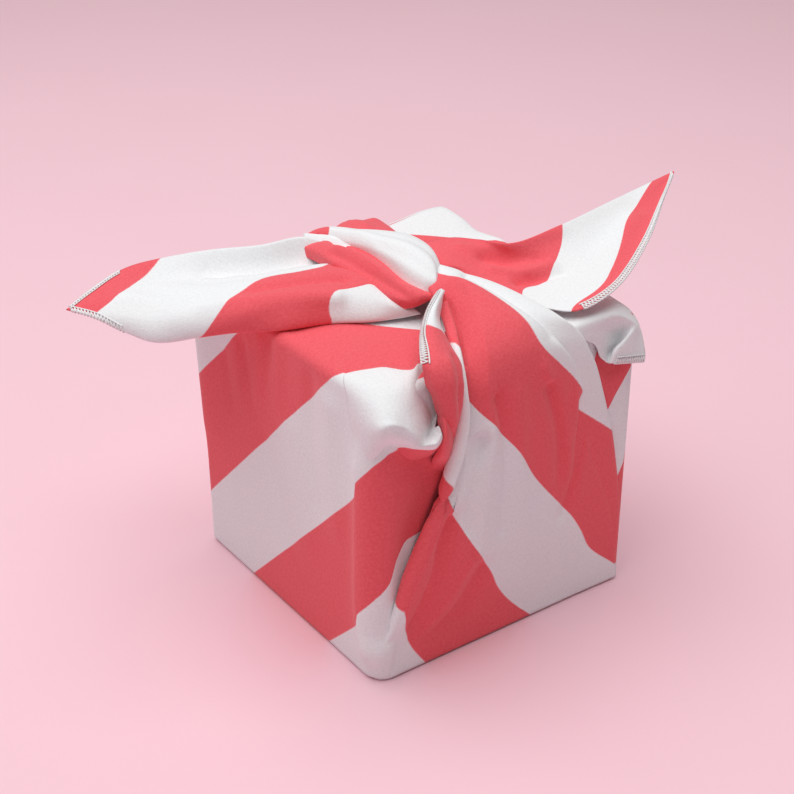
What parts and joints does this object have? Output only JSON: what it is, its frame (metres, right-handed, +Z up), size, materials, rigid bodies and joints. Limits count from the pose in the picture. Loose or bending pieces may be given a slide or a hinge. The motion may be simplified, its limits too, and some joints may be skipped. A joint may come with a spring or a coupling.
{
  "type": "furoshiki-wrapped gift box",
  "caption": "Cube-shaped gift box wrapped in a square striped cotton cloth that is folded over the top and knotted there, with its free ends standing out to the sides.",
  "frame": {"origin": "middle of the flat underside", "axes": "+Z up; the sides of the wrapped cube face -X, -Y, +X and +Y; the arms of the knot come up over the -Y and +Y sides and its free ends stand out towards -X and +X"},
  "size_m": [0.2449, 0.1385, 0.1446],
  "materials": {
    "cloth": "matt woven cotton, printed in broad red and white stripes",
    "card": "plain uncoated box card"
  },
  "bodies": {
    "root": {"cloth": "cloth", "box": "card"}
  },
  "joints": []
}
